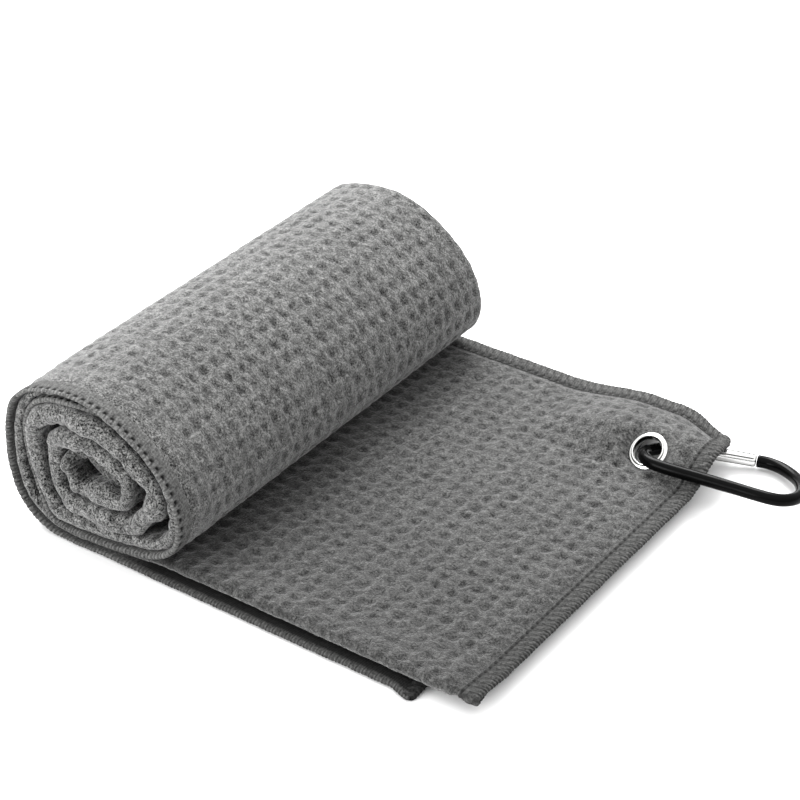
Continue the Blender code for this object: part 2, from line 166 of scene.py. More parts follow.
def curve(points, fine):
    """Catmull-Rom curve through points, with the same number of steps between each two."""
    p = np.asarray(points, float)
    p = np.vstack((2 * p[0] - p[1], p, 2 * p[-1] - p[-2]))
    t = (np.arange(fine) / fine)[None, :, None]
    a, b, c, d = p[:-3, None], p[1:-2, None], p[2:-1, None], p[3:, None]
    out = 0.5 * (2 * b + (c - a) * t + (2 * a - 5 * b + 4 * c - d) * t ** 2 + (3 * b - a - 3 * c + d) * t ** 3)
    return np.vstack((out.reshape(-1, p.shape[1]), p[-2:-1]))


def bend(centre, radius, first, last, count):
    a = np.radians(np.linspace(first, last, count))
    return [(centre[0] + radius * math.cos(x), centre[1] + radius * math.sin(x)) for x in a]


def middle_path():
    """Outer surface of the strip away from the ends, as the part has it."""
    path = list(TAIL)
    turn = np.array(TURN)
    for n in range(4):
        path += [tuple(p) for p in turn]
        if n == 3:
            break
        before = np.array(path[-len(turn) - 1])
        nrm = inward(np.vstack((before, turn)))[1:]
        turn = turn + 3 * LAYER * nrm
        if n == 0:
            turn[0] = (TURN[0][0], TURN[0][1] + 3 * LAYER)
        for _ in range(RELAX[n]):
            turn = relaxed(turn)
    path = path[:len(TAIL) + 3 * len(TURN) + LAST_TURN]
    return path + bend(*BEND_RIGHT) + bend(*BEND_LEFT) + CORE_END


def near_path():
    path = list(TAIL)
    for turn in NEAR_TURNS:
        path += turn
    return path + NEAR_CORE


def stack_limits(path):
    """Thickness of the stack along the near path, held back from the next turn."""
    nrm = inward(path)
    per_turn = len(TURN) * FINE
    start = len(TAIL) * FINE
    wanted = [TAIL_STACK] * len(TAIL) + sum(NEAR_THICK, []) + [CORE_THICK] * len(NEAR_CORE)
    wanted = np.interp(np.arange(len(path)) / FINE, np.arange(len(wanted)), wanted)
    out = wanted.copy()
    for i, (p, n) in enumerate(zip(path, nrm)):
        lo, hi = i + int(0.55 * per_turn), min(i + int(1.45 * per_turn), len(path) - 1)
        if i < start or lo >= hi:
            continue
        a = path[lo:hi]
        e = path[lo + 1:hi + 1] - a
        cross = n[0] * e[:, 1] - n[1] * e[:, 0]
        cross = np.where(np.abs(cross) < 1e-9, 1e-9, cross)
        w = a - p
        along = (w[:, 0] * e[:, 1] - w[:, 1] * e[:, 0]) / cross
        where = (w[:, 0] * n[1] - w[:, 1] * n[0]) / cross
        hit = along[(where >= 0) & (where <= 1) & (along > 0.3)]
        if len(hit):
            out[i] = max(min(out[i], hit.min() - NEAR_GAP), THIN)
    k = np.hanning(2 * FINE + 1)
    k /= k.sum()
    return np.minimum(np.convolve(np.pad(out, FINE, mode="edge"), k, mode="valid"), out + 0.5)


class Roll:
    """Maps the flat sheet, length s along and place t across, onto the folded and rolled shape."""

    def __init__(self):
        self.mid = curve(middle_path(), FINE)
        near = curve(near_path(), FINE)
        # the near path has its own number of points after the third turn, so it is stretched to fit
        same = (len(TAIL) + 3 * len(TURN)) * FINE
        rest = np.linspace(same, len(near) - 1, len(self.mid) - same)
        src = np.concatenate((np.arange(same), rest))
        near_stack = stack_limits(near)
        i = np.arange(len(near))
        self.near = np.stack([np.interp(src, i, near[:, k]) for k in (0, 1)], axis=1)
        self.near_n = inward(near)
        self.near_n = np.stack([np.interp(src, i, self.near_n[:, k]) for k in (0, 1)], axis=1)
        self.near_h = np.interp(src, i, near_stack)
        self.mid_n = inward(self.mid)
        u = np.arange(len(self.mid))
        on_tail = 1 - ease(len(TAIL) * FINE - 2 * FINE, len(TAIL) * FINE + 3 * FINE, u)
        self.mid_h = ROLL_STACK + (TAIL_STACK - ROLL_STACK) * on_tail
        line = self.mid + self.mid_n * (1.5 * LAYER)
        step = np.linalg.norm(np.diff(line, axis=0), axis=1)
        self.s = np.concatenate(((0.0,), np.cumsum(step))) - np.linalg.norm(line[FINE] - line[0])
        self.turn = np.clip((u - len(TAIL) * FINE) / (len(TURN) * FINE), 0.0, 9.0)

        far = STRIP_FAR - 0.5 - LAYER / 2
        near_y = 0.5 + LAYER / 2
        arc = math.pi * LAYER / 2
        self.far_y, self.near_y, self.arc = far, near_y, arc
        self.c_end = far - BOTTOM_NEAR
        self.b_start = self.c_end + arc
        self.b_end = self.b_start + far - near_y
        self.a_start = self.b_end + arc

    def back(self, t):
        """How far the free end stands back at a place across the sheet."""
        b = np.where(t <= self.c_end, BOTTOM_BACK + (FAR_BACK - BOTTOM_BACK) * t / self.c_end, FAR_BACK)
        b = np.where(t > self.b_start, FAR_BACK * (self.b_end - t) / (self.b_end - self.b_start), b)
        return np.clip(np.where(t > self.b_end, 0.0, b), 0.0, None)

    def along(self, s, t):
        """Length on the sheet to length along the strip."""
        back = self.back(t)
        return np.where(s < BACK_FADE, back + s * (1.0 - back / BACK_FADE), s)

    def fold(self, t):
        """Place across the sheet to y, height in the stack from 0 to 1, and which fold it is in."""
        a1 = np.clip((t - self.c_end) / self.arc, 0, 1) * math.pi
        a2 = np.clip((t - self.b_end) / self.arc, 0, 1) * math.pi
        h = (1 - np.cos(a1)) / 6 + (1 - np.cos(a2)) / 6 + 1 / 6
        y = np.where(t <= self.c_end, BOTTOM_NEAR + t, 0.0)
        y = np.where(t > self.c_end, self.far_y - np.maximum(t - self.b_start, 0), y)
        y = np.where(t > self.b_end, self.near_y + STRETCH * np.maximum(t - self.a_start, 0), y)
        return y, h, np.sin(a1), np.sin(a2)

    def point(self, s, t):
        """Middle of the cloth for arrays of lengths along and places across, and its layer thickness."""
        s, t = rounded(s, t)
        y, h, far_arc, near_arc = self.fold(t)
        sp = self.along(s, t)
        u = np.interp(sp, self.s, np.arange(len(self.s)))
        idx = np.arange(len(self.s))

        def at(v):
            return np.interp(u, idx, v)

        w = 1 - ease(-2.0, 24.0, y)
        puff = w * ease(96.0, 122.0, sp)          # only the roll puffs, not the tail
        turn = at(self.turn)
        # the bottom layer's hem is the thicker one in the first turn and the thinner one inside
        wanted = 0.4 - 0.13 * ease(0.9, 1.1, turn) - 0.05 * ease(1.9, 2.1, turn)
        share_c = 1 / 3 + (wanted - 1 / 3) * puff
        # where the inner hems hide, the puffed folds fill the room in front of them
        hidden = ease(1.45, 1.6, turn) * puff * (1 - ease(1.0, 5.0, y))
        share_c = share_c * np.where(t > self.b_start, 1 - 0.9 * hidden, 1.0)
        c_mid = share_c / 2
        rest = (1 - share_c) / 2
        hc = np.where(h < 0.5, c_mid + (h - 1 / 6) * 3 * (share_c + rest / 2 - c_mid), h)
        hc = np.where(h >= 0.5, share_c + rest / 2 + (h - 0.5) * 3 * rest, hc)
        o = np.stack((at(self.mid[:, 0]), at(self.mid[:, 1])), axis=-1)
        n = np.stack((at(self.mid_n[:, 0]), at(self.mid_n[:, 1])), axis=-1)
        hm = at(self.mid_h)
        on = np.stack((at(self.near[:, 0]), at(self.near[:, 1])), axis=-1)
        nn = np.stack((at(self.near_n[:, 0]), at(self.near_n[:, 1])), axis=-1)
        hn = at(self.near_h)
        outer = o + (on - o) * w[..., None]
        inner_m = o + n * hm[..., None]
        inner_n = on + nn * hn[..., None]
        inner = inner_m + (inner_n - inner_m) * w[..., None]
        q = outer + (inner - outer) * hc[..., None]
        on_tail = (1 - ease(90.0, 112.0, sp)) * (1 - ease(0.0, 16.0, y))
        q[..., 1] += np.where(t > self.c_end, FOLD_LIFT, 0.0) * on_tail
        thick = np.linalg.norm(inner - outer, axis=-1)
        layer = thick * np.where(h < 0.34, share_c * (1 - 0.22 * puff), rest)
        # folds bulge out by half of the two layers that they join, the near one up to the hem's edge
        bulge = (0.5 - 0.14 * puff) * layer
        lumps = 0.5 * np.sin(5.3 * turn + 0.6) + 1.1 * value_noise(sp / 7.0, 0.0 * sp + 0.5, 41)
        lumps = lumps * ease(1.0, 1.5, turn) * (1 + 0.8 * ease(2.0, 2.4, turn))
        push = puff * (1.7 + 1.3 * ease(0.95, 1.3, turn) + lumps)
        y = y + far_arc * bulge - near_arc * bulge
        y = y - np.where(t > self.b_start, push, 0.0) * (1 - ease(0.0, 14.0, y))
        # the inner hems hide behind the puffed folds, and the last turn stands back in the shade
        hide = puff * (0.4 * ease(0.9, 1.2, turn) + 4.6 * ease(1.45, 1.6, turn))
        y = y + np.where(t < self.c_end, hide, 0.0) * (1 - ease(-3.0, 18.0, y))
        core = puff * (0.5 * ease(1.9, 2.2, turn) + 5.0 * ease(3.3, 3.5, turn))
        y = y + core * (1 - ease(-3.0, 40.0, y))
        # a loose corner of the bottom layer droops past the others
        y = y - 1.6 * (1 - ease(2.0, 10.0, s)) * (1 - ease(3.0, 14.0, t))
        out = np.stack((q[..., 0], y, q[..., 1]), axis=-1)
        top = (t > self.a_start - self.arc * 0.2) & (out[..., 0] > RISE_X[0] - 1)
        if top.any():
            out[top] = corner(out[top])
        return out, layer

    def surface(self, s, t):
        """Middle of the cloth, its unit normal (up from the top layer), and the layer's thickness."""
        p, layer = self.point(s, t)
        ds = self.point(s + NUDGE, t)[0] - self.point(s - NUDGE, t)[0]
        dt = self.point(s, t + NUDGE)[0] - self.point(s, t - NUDGE)[0]
        n = np.cross(dt, ds)
        n /= np.maximum(np.linalg.norm(n, axis=-1, keepdims=True), 1e-9)
        return p, n, layer


def ring_matrix():
    """The grommet's place: tilted about a level line that is turned by RING_TURN."""
    turn = Matrix.Rotation(RING_TURN, 4, "Z")
    return Matrix.Translation(RING_C) @ turn @ Matrix.Rotation(RING_TILT, 4, "X") @ turn.inverted()


RING = np.array(ring_matrix())


def corner(flat):
    """Top layer lifted over the carabiner, and lying in the grommet's plane around its hole."""
    x, y = flat[..., 0], flat[..., 1]
    side = ease(*RISE_X, x)
    rise = ease(*RISE_Y, y)
    tip = ease(*TIP_X, x) * ease(*TIP_Y, y)
    out = flat.copy()
    out[..., 1] -= side * rise
    out[..., 2] += side * (RISE * rise - FAR_SAG * ease(RISE_Y[1], STRIP_FAR, y))
    out += tip[..., None] * TIP_PULL
    ox, oy = x - RING_FLAT[0], y - RING_FLAT[1]
    r = np.hypot(ox, oy)
    near = 1.0 - ease(5.4, 9.0, r)
    flat4 = np.stack((ox, oy, np.zeros_like(ox), np.ones_like(ox)), axis=-1)
    on_ring = (flat4 @ RING.T)[..., :3]
    return out + (on_ring - out) * near[..., None]


def rounded(s, t):
    """The two free corners of the sheet, cut round."""
    v = np.minimum(t, WIDTH - t)
    far = np.hypot(np.minimum(s - CORNER_R, 0), np.minimum(v - CORNER_R, 0))
    k = np.where(far > CORNER_R, CORNER_R / np.maximum(far, 1e-9), 1.0)
    both = (s < CORNER_R) & (v < CORNER_R)
    s2 = np.where(both, CORNER_R + (s - CORNER_R) * k, s)
    v2 = np.where(both, CORNER_R + (v - CORNER_R) * k, v)
    return s2, np.where(t < WIDTH / 2, v2, WIDTH - v2)


ROLL = Roll()


# ---------------------------------------------------------------- noise for meshes

def value_noise(x, y, seed):
    """Smooth noise from -1 to 1 on arrays, from a hashed grid."""
    xi, yi = np.floor(x).astype(np.int64), np.floor(y).astype(np.int64)
    fx, fy = x - xi, y - yi
    fx, fy = fx * fx * (3 - 2 * fx), fy * fy * (3 - 2 * fy)

    def h(a, b):
        v = (a * 374761393 + b * 668265263 + seed * 974634777) & 0xFFFFFFFF
        v = ((v ^ (v >> 13)) * 1274126177) & 0xFFFFFFFF
        return ((v ^ (v >> 16)) & 0xFFFF) / 32767.5 - 1.0

    top = h(xi, yi) * (1 - fx) + h(xi + 1, yi) * fx
    low = h(xi, yi + 1) * (1 - fx) + h(xi + 1, yi + 1) * fx
    return top * (1 - fy) + low * fy


def dimple_mask(s, t):
    """1 in the middle of a waffle cell and 0 on its ridges, a little different in every cell."""
    ws = s + 0.45 * value_noise(s / 4.1, t / 4.1, 3)
    wt = t + 0.45 * value_noise(s / 4.1, t / 4.1, 5)
    a = 0.5 - 0.5 * np.cos(2 * math.pi * ws / CELL_S)
    b = 0.5 - 0.5 * np.cos(2 * math.pi * wt / CELL_T)
    m = ease(0.0, 0.92, a * b)
    cell = value_noise(np.floor(ws / CELL_S) + 0.5, np.floor(wt / CELL_T) + 0.5, 11)
    return m * (0.82 + 0.28 * cell)


def edge_fade(s, t):
    """0 on the hems and 1 on the open cloth."""
    d = np.minimum(np.minimum(s, LENGTH - s), np.minimum(t, WIDTH - t))
    return ease(HEM_W - 0.3, HEM_W + 1.5, d)


# ---------------------------------------------------------------- meshes

def link(name, verts, faces):
    """Smooth-shaded object from vertices in metres."""
    me = bpy.data.meshes.new(name)
    me.from_pydata(verts, [], faces)
    me.validate()
    me.polygons.foreach_set("use_smooth", [True] * len(me.polygons))
    ob = bpy.data.objects.new(name, me)
    bpy.context.scene.collection.objects.link(ob)
    return ob


def fixed(ob):
    """The object with its faces turned outwards."""
    bm = bmesh.new()
    bm.from_mesh(ob.data)
    bmesh.ops.recalc_face_normals(bm, faces=bm.faces)
    bm.to_mesh(ob.data)
    bm.free()
    return ob


def tube_faces(rows, cols):
    """Faces of a closed tube of rows rings with cols points each, with its two end caps."""
    faces = []
    for i in range(rows - 1):
        for j in range(cols):
            k = (j + 1) % cols
            faces.append((i * cols + j, i * cols + k, (i + 1) * cols + k, (i + 1) * cols + j))
    faces.append(tuple(range(cols))[::-1])
    faces.append(tuple(range((rows - 1) * cols, rows * cols)))
    return faces


def to_row(p):
    """Millimetres from the roll's line to metres in the row's frame."""
    return (p - ROW) * MM


def set_attribute(ob, name, values):
    at = ob.data.attributes.new(name, "FLOAT", "POINT")
    at.data.foreach_set("value", np.asarray(values, np.float32))


def cell_levels(side):
    """Steps in each cell of one face of the sheet: fine where it shows, coarse inside the roll."""
    s = (np.arange(NS) + 0.5) * CELL_S
    t = (np.arange(NT) + 0.5) * CELL_T
    S, T = np.meshgrid(s, t, indexing="ij")
    lv = np.full(S.shape, 1)
    lv[S > 250] = 2
    panel_c, panel_a = T < ROLL.c_end + 3, T > ROLL.a_start - 3
    if side < 0:
        lv[panel_c & (S < 262)] = 4
        lv[panel_c & (S > 88) & (S < 262)] = SUB
        lv[np.abs(T - (ROLL.c_end + ROLL.arc / 2)) < 6] = 4
        lv[T < 12] = 4
    else:
        lv[panel_a & (S < 112)] = SUB
        lv[np.abs(T - (ROLL.b_end + ROLL.arc / 2)) < 9] = SUB
        lv[T < 14] = 4
        lv[T > WIDTH - 14] = np.maximum(lv[T > WIDTH - 14], 4)
    lv[np.hypot(S - RING_ST[0], T - RING_ST[1]) < 11] = SUB
    return lv


def face_cells(level):
    """Polygons of one face of the sheet on the fine lattice, each cell with its own number of steps."""
    polys = []
    rows, cols = level.shape

    def edge_level(i, j, di, dj):
        a, b = i + di, j + dj
        if 0 <= a < rows and 0 <= b < cols:
            return max(level[i, j], level[a, b])
        return max(level[i, j], RIM)

    for i in range(rows):
        for j in range(cols):
            n = level[i, j]
            step = SUB // n
            i0, j0 = i * SUB, j * SUB
            south, north = edge_level(i, j, 0, -1), edge_level(i, j, 0, 1)
            west, east = edge_level(i, j, -1, 0), edge_level(i, j, 1, 0)
            for a in range(n):
                for b in range(n):
                    x0, y0 = i0 + a * step, j0 + b * step
                    x1, y1 = x0 + step, y0 + step
                    k = SUB // south if b == 0 else step
                    poly = [(x, y0) for x in range(x0, x1, k)]
                    k = SUB // east if a == n - 1 else step
                    poly += [(x1, y) for y in range(y0, y1, k)]
                    k = SUB // north if b == n - 1 else step
                    poly += [(x, y1) for x in range(x1, x0, -k)]
                    k = SUB // west if a == 0 else step
                    poly += [(x0, y) for y in range(y1, y0, -k)]
                    polys.append(poly)
    return polys


RING_ST = (TAIL_X - RING_FLAT[0], ROLL.a_start + (RING_FLAT[1] - ROLL.near_y) / STRETCH)
CLOTH_HOLE = 4.9        # radius of the hole under the grommet's flange


def build_cloth():
    """The whole sheet as one closed mesh."""
    verts, faces = [], []
    dip_all, painted_shading_all, grain_all = [], [], []
    index, levels = [], []
    scale = np.array((CELL_S, CELL_T)) / SUB
    for side in (-1, 1):
        levels.append(cell_levels(side))
        polys = face_cells(levels[-1])
        middles = np.array([np.mean(poly, axis=0) for poly in polys]) * scale
        keep = np.hypot(middles[:, 0] - RING_ST[0], middles[:, 1] - RING_ST[1]) > CLOTH_HOLE
        round_hole = [poly for poly, m, k in zip(polys, middles, keep)
                      if k and np.hypot(m[0] - RING_ST[0], m[1] - RING_ST[1]) < CLOTH_HOLE + 3]
        polys = [poly for poly, k in zip(polys, keep) if k]
        keys = {}
        for poly in polys:
            for k in poly:
                if k not in keys:
                    keys[k] = len(keys)
        ij = np.array(list(keys))
        s, t = ij[:, 0] * CELL_S / SUB, ij[:, 1] * CELL_T / SUB
        si = INSET + s * (LENGTH - 2 * INSET) / LENGTH
        ti = INSET + t * (WIDTH - 2 * INSET) / WIDTH
        p, n, layer = ROLL.surface(si, ti)
        mask = dimple_mask(s, t) if side > 0 else dimple_mask(s + CELL_S / 2, t + CELL_T / 2)
        open_cloth = edge_fade(s, t)
        ring = np.hypot(p[:, 0] - RING_C.x, p[:, 1] - RING_C.y)
        flat = ease(6.0, 9.0, np.where(p[:, 2] < 14, ring, 99.0))
        pile = 0.1 * value_noise(s / 0.9, t / 0.9, 21) + 0.11 * value_noise(s / 2.1, t / 2.1, 22)
        half = 0.5 * np.clip(layer, 0.9, 3.4) * 0.97
        half = half * (0.2 + 0.8 * open_cloth)
        half = np.where(ring < 9, half + (0.66 - half) * (1 - flat), half)
        relief = (pile - DIMPLE * mask + 0.12) * open_cloth * (0.25 + 0.75 * flat)
        q = p + n * (side * (half + relief))[:, None]
        base = len(verts)
        verts += [tuple(v) for v in to_row(q)]
        # painted shade in the dimples, which the material reads as dip
        dip_all.append(mask * open_cloth * flat)
        # painted shade: the tail lies in the shade of the roll, darkest near the crease under it and towards the near
        # edge, and the core in its own
        tail = (1 - ease(96.0, 104.0, s)) * ease(ROLL.a_start - 2, ROLL.a_start, t) if side > 0 else 0.0 * s
        painted_shading_all.append(1 - tail * (0.57 - 0.22 * ease(20.0, 120.0, p[:, 1])))
        painted_shading_all[-1] *= (1 - 0.22 * ease(480.0, 560.0, s)) * (1 - 0.55 * (tail > 0) * ease(74.0, 97.0, s))
        # the pile is combed flat on the ridges, rough in the dimples and roughest on the puffed folds
        end_face = (1 - ease(1.0, 7.0, p[:, 1])) * ease(96.0, 112.0, s)
        grain_all.append(0.62 + 0.4 * mask * open_cloth * flat + 0.5 * end_face)
        for poly in polys:
            f = [keys[k] + base for k in poly]
            faces.append(f[::-1] if side > 0 else f)
        index.append((keys, base))
    low, up = index
    # the wall of the grommet's hole
    edges = {(a, b) for poly in round_hole for a, b in zip(poly, poly[1:] + poly[:1])}
    hole = [(a, b) for a, b in edges if (b, a) not in edges
            and np.hypot(*(np.array(a) * scale - RING_ST)) < CLOTH_HOLE + 0.9]
    for a, b in hole:
        faces.append([low[0][b] + low[1], low[0][a] + low[1], up[0][a] + up[1], up[0][b] + up[1]])

    def vid(table, i, j):
        return table[0][(i, j)] + table[1]

    # the rims: one face a cell that follows the steps of both faces of the sheet
    for i, j, di, dj in ([(i, j, 1, 0) for i in range(NS) for j in (0, NT)]
                         + [(i, j, 0, 1) for i in (0, NS) for j in range(NT)]):
        cell = (min(i, NS - 1), min(j, NT - 1))
        steps = [SUB // max(lv[cell], RIM) for lv in levels]
        ends = [(i * SUB + di * k, j * SUB + dj * k) for k in range(0, SUB + 1, steps[0])]
        f = [vid(low, *e) for e in ends]
        ends = [(i * SUB + di * k, j * SUB + dj * k) for k in range(SUB, -1, -steps[1])]
        f += [vid(up, *e) for e in ends]
        faces.append(f[::-1] if (j == 0 if di else i == NS) else f)
    ob = link("towel_sheet", verts, faces)
    set_attribute(ob, "dip", np.concatenate(dip_all))
    set_attribute(ob, "painted_shading", np.concatenate(painted_shading_all))
    set_attribute(ob, "grain", np.concatenate(grain_all))
    return ob


# ---------------------------------------------------------------- hems

STITCH = 2.3            # pitch of the overlock's stitches
HEM_END = 0.2           # the short hems stop this far from the long edges
HEM_INSIDE = 1.5        # the long hems end inside the short ones


def hem_section():
    """Closed outline of the overlock band: distance in from the edge, and height as a share of its half thickness."""
    top = [(HEM_W, 0.55), (HEM_W - 0.35, 0.96), (HEM_W - 0.8, 1.0), (HEM_W - 1.4, 1.12), (HEM_W - 2.2, 1.2),
           (HEM_W - 3.0, 1.22), (1.7, 1.22), (1.3, 1.22), (0.9, 1.18), (0.5, 1.08), (0.15, 0.86), (-0.1, 0.55),
           (-0.25, 0.2)]
    return top + [(a, -b) for a, b in reversed(top)]


def hem(name, edge, last, fine_to, shown=1, needle=HEM_W - 0.8):
    """Overlock band along one edge of the sheet. edge is s0, s1, t0 or t1.

    Its needle holes are on side shown, at the distance needle in from the edge.
    """
    first = HEM_END if edge in ("s0", "s1") else HEM_INSIDE
    last = last - first
    q = []
    x = first
    while x < last:
        q.append(x)
        x += STITCH / 10 if x < fine_to else STITCH / 2
    q.append(last)
    q = np.array(q)
    a, b = np.array(hem_section()).T
    wide = needle > HEM_W / 2       # the row of needle holes is at the inner side, in a groove
    Q, A = np.meshgrid(q, a, indexing="ij")
    B = np.broadcast_to(b, Q.shape)
    if edge == "s0":
        s, t = A, Q
    elif edge == "s1":
        s, t = LENGTH - A, Q
    elif edge == "t0":
        s, t = Q, A
    else:
        s, t = Q, WIDTH - A
    p, n, layer = ROLL.surface(s, t)
    half = 0.5 * np.clip(layer, 0.9, 2.6) * 0.86
    phase = 2 * math.pi * Q / STITCH
    wob = 0.12 * value_noise(Q / 3.0, B * 0.0 + 7, 31)
    ribs = 0.07 * np.cos(3 * phase + 1.5 * A) * ease(0.2, 1.0, A)
    rope = np.cos(phase + 1.7 * A) * ease(0.2, 1.0, A) * (0.0 if edge == "t0" else 1.0)
    face = np.where(B * shown > 0, 1.0, 0.0)
    inner = np.exp(-((A - needle) / 0.5) ** 2) * face
    pit_in = inner * (0.5 + 0.5 * np.cos(phase + 0.8)) ** 2
    groove = inner * (0.22 if wide else 0.04)
    rim = 1 - ease(0.2, 1.1, A)
    pit_out = np.exp(-((A - 0.5) / 0.3) ** 2) * (0.5 + 0.5 * np.cos(phase)) ** 4 * (0.7 if wide else 0.3)
    lift = ribs + 0.11 * rope - groove - 0.36 * pit_in - 0.2 * pit_out + 0.06 * rim + wob * 0.3
    height = np.sign(B) * (np.abs(B) * half + lift * np.minimum(np.abs(B) * 1.6, 1.0))
    v = p + n * height[..., None]
    # the outer rim's loops also move along the sheet's plane
    if edge in ("s0", "s1"):
        d = ROLL.point(s + NUDGE, t)[0] - ROLL.point(s - NUDGE, t)[0]
        out_dir = -d if edge == "s0" else d
    else:
        d = ROLL.point(s, t + NUDGE)[0] - ROLL.point(s, t - NUDGE)[0]
        out_dir = -d if edge == "t0" else d
    out_dir = out_dir / np.maximum(np.linalg.norm(out_dir, axis=-1, keepdims=True), 1e-9)
    v = v + out_dir * (rim * (0.08 * np.cos(2 * phase + math.pi) + 0.05 * np.cos(phase) + 0.6 * wob))[..., None]
    ob = link(name, [tuple(x) for x in to_row(v.reshape(-1, 3))], tube_faces(*Q.shape))
    # painted light and shade: the needle holes, the groove along them and the gaps between the rim's loops are dark,
    # and the loops and the raised twists of the rope are light
    tick = np.cos(2 * phase + 1.4) * (1 - ease(0.4, 1.4, A))
    dark = 1.7 * pit_in + pit_out + (0.2 * inner if wide else 0) - 0.6 * tick - 0.3 * rope
    # painted light: the near hem's outer rim is lighter
    if edge == "t0":
        dark = dark - 0.25 * (1 - ease(0.4, 0.9, A))
    set_attribute(ob, "dip", np.clip(dark, -0.5, 1).reshape(-1))
    # painted light and shade: lighter on the crests of the ribs and darker between them
    set_attribute(ob, "rib", (np.cos(3 * phase + 1.5 * A) * 0.5 + 0.5).reshape(-1))
    # the tail's hems lie in the shade of the roll, deepest under the near fold
    in_roll = ease(98.0, 112.0, s)
    painted_shading = 0.72 + 0.43 * in_roll
    # painted shade: the free end's lower layers are dark under the top one, and the top hem darkens towards the near
    # edge
    if edge == "s0":
        painted_shading = np.where(t < ROLL.b_end, 0.2, 0.45 + 0.2 * ease(10.0, 110.0, p[..., 1]))
    # painted shade: the roll's near hem is darker on its left and bottom rims
    if edge == "t0":
        under = ease(-40.0, -48.0, p[..., 0]) + 1 - ease(3.0, 10.0, p[..., 2])
        painted_shading = 0.48 + (0.56 - 0.28 * np.clip(under, 0, 1)) * in_roll
        painted_shading = painted_shading - 0.38 * (1 - in_roll) * np.where(B > 0, ease(1.0, 1.8, A), 0.0)
    set_attribute(ob, "painted_shading", np.broadcast_to(painted_shading, Q.shape).reshape(-1))
    return fixed(ob)


# ---------------------------------------------------------------- grommet and carabiner

def revolve(name, profile, segments, matrix):
    """Ring from a closed profile of radius and height."""
    verts, faces = [], []
    for k in range(segments):
        a = 2 * math.pi * k / segments
        for r, z in profile:
            v = matrix @ Vector((r * math.cos(a), r * math.sin(a), z))
            verts.append(tuple(to_row(np.array(v))))
    m = len(profile)
    for k in range(segments):
        for j in range(m):
            a, b = k * m, ((k + 1) % segments) * m
            i = (j + 1) % m
            faces.append((a + j, b + j, b + i, a + i))
    return fixed(link(name, verts, faces))


ROD_R = 1.7
LOOP_O = Vector((76.0, 104.0, 8.0))
LOOP_YAW = math.radians(6.5)
LOOP_TILT = math.radians(14.2)
HINGE = Vector((6.8, 17.6, 0.0))
TIP = Vector((25.8, 23.6, 0.0))
GATE_R = 1.6
GROOVE = 0.16           # depth of the seams in the gate's sleeve
LOOP = Matrix.Translation(LOOP_O) @ Matrix.Rotation(LOOP_YAW, 4, "Z") @ Matrix.Rotation(-LOOP_TILT, 4, "X")
GATE_DIR = (TIP - HINGE).normalized()


def bar(name, path, radii, sides, matrix, grooves=()):
    """Round bar along a flat path with a radius at each point, closed at both ends.

    Each groove is an angle round the bar and half its width, and runs along all but the first and last steps.
    """
    verts, dip = [], []
    for i, p in enumerate(path):
        d = (path[min(i + 1, len(path) - 1)] - path[max(i - 1, 0)]).normalized()
        side = Vector((d.y, -d.x, 0.0))
        ra, rb = radii[i]
        for k in range(sides):
            a = 2 * math.pi * (k + 0.5) / sides
            near = [1 - abs((a - g + math.pi) % (2 * math.pi) - math.pi) / w for g, w in grooves]
            dip.append(max(near + [0.0]) if 1 < i < len(path) - 2 else 0.0)
            cut = GROOVE * dip[-1]
            v = p + side * ((ra - cut) * math.cos(a)) + Vector((0, 0, (rb - cut) * math.sin(a)))
            verts.append(tuple(to_row(np.array(matrix @ v))))
    ob = fixed(link(name, verts, tube_faces(len(path), sides)))
    set_attribute(ob, "dip", dip)
    return ob


def build_grommet():
    """Eyelet with its barrel, rolled lip and flange."""
    half = 0.7              # half of the pressed cloth's thickness
    eyelet = [
        (4.35, -half - 0.35), (4.1, -half - 0.3), (4.0, -half + 0.1), (4.0, 0.0), (4.0, half), (4.02, half + 0.55),
        (4.1, half + 0.85), (4.24, half + 1.02), (4.42, half + 1.04), (4.58, half + 0.92), (4.64, half + 0.72),
        (4.66, half + 0.5), (4.78, half + 0.34), (5.0, half + 0.3), (5.25, half + 0.28), (5.42, half + 0.2),
        (5.5, half + 0.06), (5.45, half - 0.04), (5.2, half - 0.06), (4.35, half - 0.04),
    ]
    return revolve("grommet_ring", eyelet, 96, ring_matrix())


def build_carabiner():
    """Bent bar from the nose round to the heel, which narrows into the tongue for the gate."""
    nose = TIP + GATE_DIR * 0.25
    knots = [
        (nose.x, nose.y), (29.5, 24.3), (34.0, 22.9), (39.6, 18.2), (42.9, 12.0), (43.6, 6.0),
        (41.6, 1.7), (37.6, 0.0), (28.0, 0.0), (18.0, 0.0), (8.5, 0.0), (3.6, 1.1),
        (0.6, 4.2), (0.0, 8.2), (1.6, 12.4),
    ]
    pts = [Vector((x, y, 0.0)) for x, y in curve(knots, 10)]
    heel = HINGE - GATE_DIR * 2.0
    blend_in = [pts[-1].lerp(heel - GATE_DIR * 1.0, k / 4) for k in range(1, 5)]
    pts = pts + blend_in + [heel - GATE_DIR * 0.3, heel - GATE_DIR * 0.05]
    radii = [(ROD_R, ROD_R)] * len(pts)
    radii[0] = (ROD_R - 0.35, ROD_R - 0.35)
    pts.insert(1, pts[0].lerp(pts[1], 0.35))
    radii.insert(1, (ROD_R - 0.06, ROD_R - 0.06))
    radii[-1] = (ROD_R - 0.25, ROD_R - 0.25)
    radii[-2] = (ROD_R - 0.02, ROD_R - 0.02)
    pts += [heel + GATE_DIR * 0.05, HINGE + GATE_DIR * 1.3]
    radii += [(1.35, 0.55)] * 2
    return bar("carabiner_bar", pts, radii, 32, LOOP)


